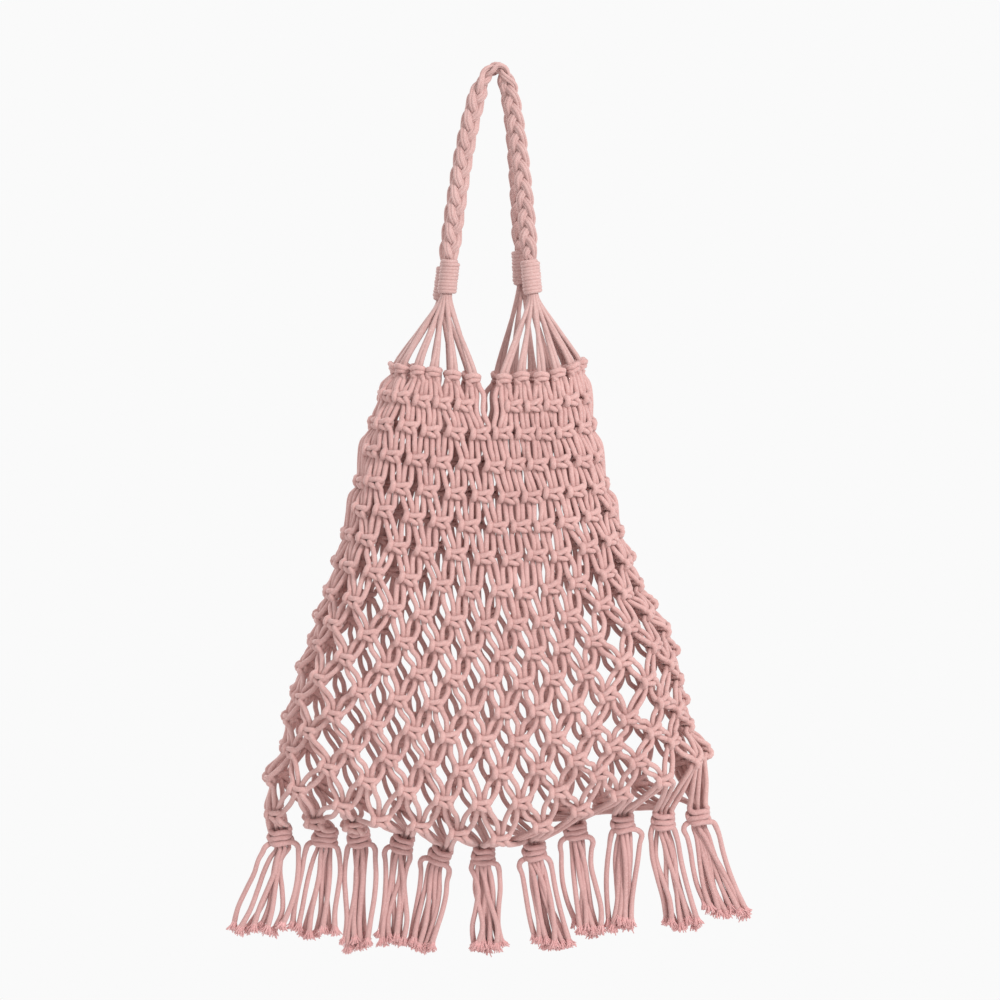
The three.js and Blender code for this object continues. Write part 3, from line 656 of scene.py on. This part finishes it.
def tassel_for(spot, strand):
    """The index of the tassel that a cord ends in, from its last knot and its strand there."""
    if spot in LAST_KNOTS:
        return int(min(spot, AROUND - spot))
    knot, rightmost = int(round(spot)) % AROUND, len(TASSELS) - 1
    if knot == 0:
        return 0
    if knot == AROUND // 2:
        return rightmost
    behind = knot > AROUND // 2
    towards_right = strand < 2 if behind else strand > 1
    knot = min(knot, AROUND - knot)
    # Past the middle of the front, each knot is over tassels one place further left.
    if knot > QUARTER and not behind:
        knot -= 1
    return min(knot, rightmost) if towards_right else knot - 1


tassel_members = [[] for _ in TASSELS]
loose = []
for column in range(AROUND):
    for strand in range(4):
        route, spot, last = net_route(column, strand)
        if strand in (1, 2):
            route = fan_route(column, strand).then(route)
        tassel_members[tassel_for(spot, last)].append(len(loose))
        loose.append((route, spot, strand, column))

# ---------------------------------------------------------------- tassels
# What a tassel's length, lean and spread are multiples of, and how far its gathering knot is under its top.
TASSEL_UNIT, HEAD_DROP = 80, 7.6
# The radii of the cords that tie a gathering knot and of those inside it.
TIE_CORD, TIED_CORD = 2.3, 1.75
# Along a loose cord: a share of its length and the radius there, which swells before the cut end.
LOOSE_RADII = ((0.1, 2.0), (0.28, CORD), (0.5, CORD), (0.75, CORD), (0.93, 2.35), (1.0, 1.9))
LOOSE_STEP = 3.2
# A cord inside a gathering knot, point by point: times its place across, down, times its depth.
TIED = ((1.15, -9.0, 1.2), (1, -4.5, 1), (1, 0, 1), (1, 4.5, 1), (1.1, 9.5, 1))
# The depth of those cords, the most that they are apart, and the most that all of them take up across.
TIED_DEPTH, TIED_APART, TIED_ACROSS = 2.0, 3.1, 8.6
# On its way in from the net a cord bows by this much, and has a point of its own if the way is this long.
ENTRY_BOW, ENTRY_LONG = 1.6, 9
# How far the outermost tips are inside the spread, how deep the tips lie, and how much shorter, as a share,
# the two tying cords come out.
TIP_INSET, TIP_DEPTH, TIE_SHORTER = 2.5, 3.2, 0.03
# How soon a tying cord and a tied one swing out to their tips, and how late the lean shows, as powers.
TIE_SWING, TIED_SWING, LEAN_POWER = 0.6, 0.95, 1.4
# Random spreads: a head's turn, the order of the cords, the ties and the way in; then a loose cord's length
# as a share, the depth of its tip and its sway.
HEAD_STRAY, ORDER_STRAY, TIE_STRAY, ENTRY_STRAY = 0.12, 3, 0.25, 0.6
LENGTH_STRAY, TIP_STRAY, SWAY = 0.028, 1.2, 1.3
tips = []


def hang_tassel(index, members):
    """Ties the cords of a tassel together and lets them hang."""
    across, _, length, lean, spread = TASSELS[index]
    tag = TASSEL[index]
    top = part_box(f"tassel_{index + 1:02d}")[1][2] / UNIT
    origin = np.array((across * NET_WIDTH, 0.0, top - HEAD_DROP))
    right, down, out = np.array((1.0, 0, 0)), np.array((0, 0, -1.0)), np.array((0, -1.0, 0))
    straight = (origin, right, down, out)
    tilted = (origin, *turned(right, down, rng.normal(0, HEAD_STRAY)), out)
    # The heads of the two leftmost tassels are wider.
    big = 1.12 if index in (0, 1) else 1.0
    ends = {m: loose[m][0].points[-1] for m in members}
    front = sorted((m for m in members if ends[m][1] < 0), key=lambda m: ends[m][0])
    back = sorted((m for m in members if ends[m][1] >= 0), key=lambda m: ends[m][0])
    # The outermost two at the front tie the knot, and each ends up on the other's side.
    first, second = front[0], front[-1]
    hang = length * TASSEL_UNIT - HEAD_DROP
    order = sorted(members, key=lambda m: ends[m][0] + rng.normal(0, ORDER_STRAY))
    order = [second] + [m for m in order if m not in (first, second)] + [first]
    for rank, m in enumerate(order):
        route, spot = loose[m][:2]
        outer = m in (first, second)
        if outer:
            shape = np.array(HEAD_BARS if m == first else HEAD_BUMP)
            shape = shape + rng.normal(0, TIE_STRAY, (len(shape), 3))
            shape[-2:, 0] *= rng.uniform(0.85, 1.25)
        else:
            group = [g for g in (front if m in front else back) if g not in (first, second)]
            apart = min(TIED_APART, TIED_ACROSS / max(len(group) - 1, 1))
            u = (group.index(m) - (len(group) - 1) / 2) * apart
            w = TIED_DEPTH if m in front else -TIED_DEPTH
            shape = [(u * wider, low, w * deeper) for wider, low, deeper in TIED]
        head = to_world(tilted, shape, (big, 1, 1))
        leave = [np.dot(head[-1] - origin, axis) for axis in (right, down, out)]
        # From the last knot to the gathering knot the cord runs almost straight.
        exit_point, entry = route.points[-1], head[0]
        bow = np.array((0, -ENTRY_BOW if exit_point[1] < 0 else ENTRY_BOW, 0.0))
        middle = (exit_point + entry) / 2 + bow + rng.normal(0, ENTRY_STRAY, 3)
        above = NET[quarter_of(spot + 0.01)]
        if np.linalg.norm(exit_point - entry) > ENTRY_LONG:
            route.go(middle, CORD, above, RUN_STEP)
        route.tags[-1] = above
        route.go(head, TIE_CORD if outer else TIED_CORD, tag, KNOT_STEP)
        share = 2 * rank / (len(order) - 1) - 1
        reach = hang * (1 + rng.normal(0, LENGTH_STRAY) - (TIE_SHORTER if outer else 0))
        tip_u = share * (spread * TASSEL_UNIT / 2 - TIP_INSET)
        tip_w = (TIP_DEPTH if rank % 2 else -TIP_DEPTH) + rng.normal(0, TIP_STRAY)
        sway = rng.normal(0, SWAY, 2)
        for f, radius in LOOSE_RADII:
            blend = f ** (TIE_SWING if outer else TIED_SWING)
            wave = sway[0] * math.sin(math.pi * f) + sway[1] * math.sin(2 * math.pi * f)
            v = leave[1] + (reach - leave[1]) * f
            leaning = lean * TASSEL_UNIT * (v / hang) ** LEAN_POWER
            u = leave[0] * (1 - blend) + tip_u * blend + wave + leaning
            w = leave[2] * (1 - f) + tip_w * f + 0.6 * wave
            route.go(to_world(straight, [(u, v, w)]), radius, tag, LOOSE_STEP)
        tips.append((index, route.points[-1], unit(route.points[-1] - route.points[-2])))


for index, members in enumerate(tassel_members):
    hang_tassel(index, members)

# The two outer strands of a top knot are the halves of one folded cord.
for column in range(AROUND):
    routes = {strand: route for route, _, strand, c in loose if c == column}
    fold = Route()
    place = knot_frame((column + 0.5) % AROUND, 0)
    fold.go(to_world(place, [(0, -3.6, 5.0)], knot_scale(0)), CORD, NET[column // QUARTER], KNOT_STEP)
    routes[0].reverse().then(fold).then(routes[3]).lay()
    routes[1].lay()
    routes[2].lay()

# The fibres in a cut end: how many, their radii from root to tip, how deep in the cord they start, how long
# they are and how far they part, and the radius of the cord that they fill.
FIBRES, FIBRE_RADII = 54, (0.55, 0.52, 0.42)
FIBRE_ROOTS, FIBRE_LENGTHS, FIBRE_FLARE, END_RADIUS = (2.4, 4.2), (5.6, 7.6), (0.35, 0.8), 2.0


def fray(index, tip, heading):
    """The loose fibres that a cut cord ends in."""
    side = unit(np.cross(heading, (0.3, 0.9, 0.1)))
    over = np.cross(heading, side)
    for _ in range(FIBRES):
        angle, reach = rng.uniform(0, 2 * math.pi), math.sqrt(rng.uniform(0, 1))
        away = side * math.cos(angle) + over * math.sin(angle)
        start = tip - heading * rng.uniform(*FIBRE_ROOTS) + away * reach * END_RADIUS
        length = rng.uniform(*FIBRE_LENGTHS) - reach
        flare = away * reach * rng.uniform(*FIBRE_FLARE) + rng.normal(0, 0.05, 3)
        bend = rng.normal(0, 0.08, 3)
        middle = start + (heading + flare * 0.5) * length * 0.5
        points = [start, middle, start + (heading + flare + bend) * length]
        lay_cord(points, FIBRE_RADII, [TASSEL[index]] * 3, [OWN_STEP] * 3, sides=4, kind=1)


for tip in tips:
    fray(*tip)

# ---------------------------------------------------------------- braided handles
# A braid's line is cut this fine, and runs on this far into its wraps.
BRAID_STEP, INTO_WRAP = 1.8, 9
BRAID_PITCH = 15.0
STRAND_WIDE, STRAND_THICK = 4.35, 2.4
# A strand comes to the front just before it crosses the middle and stays there almost to the edge.
OVER = 0.3
# The braid lies flat over the hook and turns by BRAID_TURN as it runs down from there.
BRAID_TURN, TURN_LENGTH = 1.35, 34
# Towards a wrap, from far to near, a braid is drawn together.
DRAWN_FROM, DRAWN_TO = 20, 2
# The three cords of a strand: place across it in steps of CORD_STEP, place over it, and radius.
STRAND_CORDS = ((-1, -0.45, 1.42), (0, 0.3, 1.68), (1, -0.45, 1.42))
CORD_STEP = 1.85


def smooth(x, a, b):
    t = np.clip((x - a) / (b - a), 0, 1)
    return t * t * (3 - 2 * t)


def braid(name):
    """Three strands of three cords each, braided along a handle's middle line."""
    line = LINES[name]
    ahead, behind = unit(line[0] - line[1]), unit(line[-1] - line[-2])
    line = np.vstack((
        line[0] + ahead * INTO_WRAP, line[0] + ahead * INTO_WRAP / 2, line,
        line[-1] + behind * INTO_WRAP / 2, line[-1] + behind * INTO_WRAP,
    ))
    travel = travelled(line)
    total = travel[-1]
    at = np.linspace(0, total, int(total / BRAID_STEP))
    centre = np.stack([np.interp(at, travel, line[:, k]) for k in range(3)], 1)
    tangent = unit_rows(np.gradient(centre, axis=0))
    depthward = np.array((0.0, 1.0, 0.0))
    sideways = unit_rows(np.cross(depthward, tangent))
    turn = BRAID_TURN * smooth(np.abs(at - total / 2), 0, TURN_LENGTH)[:, None]
    wide = depthward * np.cos(turn) + sideways * np.sin(turn)
    thick = sideways * np.cos(turn) - depthward * np.sin(turn)
    # In the wraps the strands keep 0.55 of their spread, and the cords 0.8 of their radius.
    free = np.minimum(smooth(at, DRAWN_TO, DRAWN_FROM), smooth(total - at, DRAWN_TO, DRAWN_FROM))
    spread = (0.55 + 0.45 * free)[:, None]
    piece = Piece(f"braid_{name}", "handle_cord", f"handle_{name}")
    for strand in range(3):
        # A strand swings in a flat figure of eight, and the third harmonic keeps it at the edges for longer.
        phase = 2 * math.pi * (at / (3 * BRAID_PITCH) + strand / 3)
        path = centre + spread * (
            wide * (STRAND_WIDE * (np.sin(phase) + 0.11 * np.sin(3 * phase)))[:, None]
            + thick * (STRAND_THICK * np.sin(2 * phase + OVER))[:, None]
        )
        along = unit_rows(np.gradient(path, axis=0))
        up = unit_rows(thick - along * np.sum(thick * along, axis=1)[:, None])
        flat = np.cross(along, up)
        for across, over, radius in STRAND_CORDS:
            points = path + spread * (flat * CORD_STEP * across + up * over)
            lay_cord(points, radius * (0.8 + 0.2 * free), [piece] * len(points), [OWN_STEP] * len(points))
    return piece


BRAIDS = [braid(name) for name in LEGS]

# ---------------------------------------------------------------- wraps
WRAP_TURNS, WRAP_SIDES, WRAP_START = 10, 22, 2.2
WRAP_RADIUS, WRAP_CORD = 6.1, 1.78
# The winding starts this far down its run, and its middle line is this much shorter than the run.
WRAP_FROM, WRAP_SHORTER = 2.1, 3.6
# At either end the cord dives in, this much on each of the last steps.
DIVE_STEPS, DIVE = 10, 0.28


def wrap(name, run):
    """One cord wound round a neck of a handle."""
    start, heading = run
    piece = Piece(f"wound_{name}", "wrap_cord", f"wrap_{name}")
    right = unit(np.cross((0, 1, 0), heading))
    back = np.cross(heading, right)
    steps = WRAP_TURNS * WRAP_SIDES
    points = []
    for i in range(steps + 1):
        # Two small waves keep the turns from being quite even.
        turns = i / WRAP_SIDES
        angle = 2 * math.pi * turns + WRAP_START
        down = WRAP_FROM + (WRAP_LENGTH - WRAP_SHORTER) * i / steps + 0.12 * math.sin(3.1 * turns)
        radius = WRAP_RADIUS + 0.14 * math.sin(1.7 * turns)
        if i < DIVE_STEPS or i > steps - DIVE_STEPS:
            radius -= DIVE * (DIVE_STEPS - min(i, steps - i))
        points.append(start + heading * down + radius * (right * math.cos(angle) + back * math.sin(angle)))
    count = len(points)
    lay_cord(points, [WRAP_CORD] * count, [piece] * count, [OWN_STEP] * count)
    return piece


WRAPS = [wrap(quarter, run) for quarter, run in zip(QUARTERS, RUNS)]

# ---------------------------------------------------------------- materials
# The yarns cross the cord's length at this angle, once to either hand.
YARN_ANGLE = math.radians(55)


def cotton(name, deep, light, worn_and_highlight, roughness=0.88):
    """Soft twisted cotton: uneven dye, fine yarns that run round the cord, and loose fibres on them, with pale
    specks that are partly worn fibre and partly painted highlight.
    """
    material = bpy.data.materials.new(name)
    material.use_nodes = True
    nodes, links = material.node_tree.nodes, material.node_tree.links

    def add(kind, settings=None, **sources):
        """A node with its own sockets set, and others linked, by the names they have in lower case."""
        node = nodes.new(kind)
        for socket, value in (settings or {}).items():
            node.inputs[socket].default_value = value
        for socket, source in sources.items():
            links.new(source, node.inputs[socket.capitalize()])
        return node

    shader = nodes["Principled BSDF"]
    shader.inputs["Roughness"].default_value = roughness
    shader.inputs["Specular IOR Level"].default_value = 0.25
    shader.inputs["Sheen Weight"].default_value = 0.25
    shader.inputs["Sheen Roughness"].default_value = 0.5
    place = add("ShaderNodeTexCoord")
    dye = add("ShaderNodeTexNoise", {"Scale": 38, "Detail": 3}, vector=place.outputs["Object"])
    tone = add("ShaderNodeValToRGB", fac=dye.outputs["Fac"])
    for element, level, colour in zip(tone.color_ramp.elements, (0.3, 0.7), (deep, light)):
        element.position, element.color = level, (*colour, 1)
    # Pale specks at random: partly worn fibres, partly a painted highlight, made whiter to stand in for the
    # cord's bright glints.
    fine = add("ShaderNodeTexNoise", {"Scale": 900, "Detail": 2}, vector=place.outputs["Object"])
    amount = add(
        "ShaderNodeMapRange", {"From Min": 0.45, "From Max": 0.75, "To Max": 0.5}, value=fine.outputs["Fac"],
    )
    speck_and_highlight = nodes.new("ShaderNodeMix")
    speck_and_highlight.data_type = "RGBA"
    speck_and_highlight.inputs["B"].default_value = (*worn_and_highlight, 1)
    links.new(amount.outputs["Result"], speck_and_highlight.inputs["Factor"])
    links.new(tone.outputs["Color"], speck_and_highlight.inputs["A"])
    links.new(speck_and_highlight.outputs["Result"], shader.inputs["Base Color"])

    weave = nodes.new("ShaderNodeMath")
    weave.operation = "MAXIMUM"
    for socket, angle in enumerate((YARN_ANGLE, -YARN_ANGLE)):
        turn = add(
            "ShaderNodeMapping", {"Rotation": (0, 0, angle), "Scale": (4, 4, 1)}, vector=place.outputs["UV"],
        )
        wave = add(
            "ShaderNodeTexWave", {"Scale": 1.0, "Distortion": 0.6, "Detail": 1}, vector=turn.outputs["Vector"],
        )
        links.new(wave.outputs["Fac"], weave.inputs[socket])
    yarns = add("ShaderNodeBump", {"Strength": 0.35, "Distance": 0.0003}, height=weave.outputs["Value"])
    fuzz = add(
        "ShaderNodeBump", {"Strength": 0.45, "Distance": 0.0004},
        height=fine.outputs["Fac"], normal=yarns.outputs["Normal"],
    )
    links.new(fuzz.outputs["Normal"], shader.inputs["Normal"])
    return material


# Each cotton's last colour is that of its pale specks: partly worn fibre, partly painted highlight.
net_cotton = cotton("net_cotton", (0.49, 0.272, 0.253), (0.555, 0.325, 0.302), (0.69, 0.5, 0.472))
handle_cotton = cotton("handle_cotton", (0.465, 0.277, 0.258), (0.53, 0.33, 0.308), (0.65, 0.49, 0.465))
tassel_cotton = cotton("tassel_cotton", (0.47, 0.258, 0.243), (0.535, 0.307, 0.291), (0.67, 0.45, 0.435))
frayed_cotton = cotton("frayed_cotton", (0.65, 0.33, 0.32), (0.74, 0.405, 0.395), (0.82, 0.53, 0.52), 0.95)

for piece in NET:
    piece.build([net_cotton])
for piece in FAN + BRAIDS + WRAPS:
    piece.build([handle_cotton])
for piece in TASSEL:
    piece.build([tassel_cotton, frayed_cotton])

# ---------------------------------------------------------------- floor
FLOOR_RADIUS, FLOOR_SIDES, FLOOR_HEIGHT = 2.2, 96, -1.35

floor_mesh = bpy.data.meshes.new("floor")
angles = [2 * math.pi * k / FLOOR_SIDES for k in range(FLOOR_SIDES)]
rim = [(FLOOR_RADIUS * math.cos(angle), FLOOR_RADIUS * math.sin(angle), 0) for angle in angles]
floor_mesh.from_pydata(rim, [], [tuple(range(FLOOR_SIDES))])
floor = bpy.data.objects.new("floor", floor_mesh)
floor.location.z = FLOOR_HEIGHT
bpy.context.collection.objects.link(floor)
floor_paint = bpy.data.materials.new("floor_paint")
floor_paint.use_nodes = True
floor_shader = floor_paint.node_tree.nodes["Principled BSDF"]
floor_shader.inputs["Base Color"].default_value = (0.86, 0.86, 0.86, 1)
floor_shader.inputs["Roughness"].default_value = 0.9
floor_mesh.materials.append(floor_paint)

bpy.context.view_layer.update()
